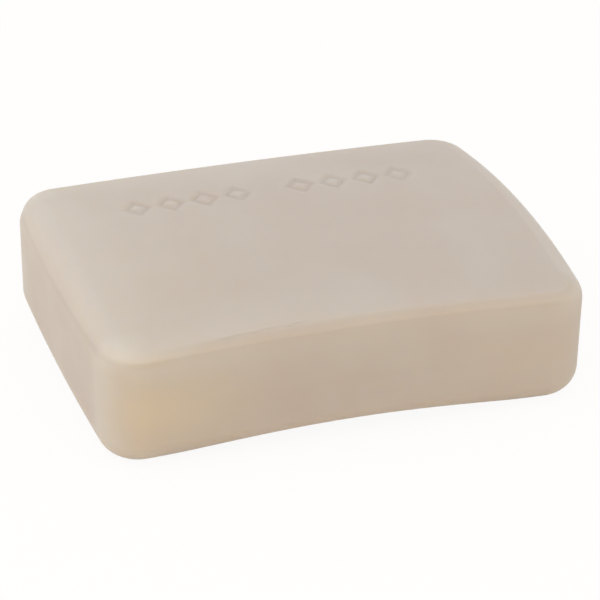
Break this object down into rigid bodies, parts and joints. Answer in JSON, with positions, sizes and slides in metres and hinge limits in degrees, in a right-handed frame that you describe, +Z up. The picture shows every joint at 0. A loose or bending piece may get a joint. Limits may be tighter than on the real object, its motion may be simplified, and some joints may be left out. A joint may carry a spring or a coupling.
{
  "type": "bar of soap",
  "caption": "Pressed bar of cream toilet soap with a crowned top, rounded corners, a shallow hollow underneath and a row of pressed lozenges.",
  "frame": {"origin": "on the table, under the middle of the bar", "axes": "+X along the bar to its right end as the picture shows it, +Y across the bar to the long side with the pressed row, +Z up"},
  "size_m": [0.0818, 0.0616, 0.0235],
  "materials": {
    "soap": "smooth satin pressed soap, warm cream, slightly translucent"
  },
  "bodies": {
    "root": {"soap_bar": "soap"}
  },
  "joints": []
}
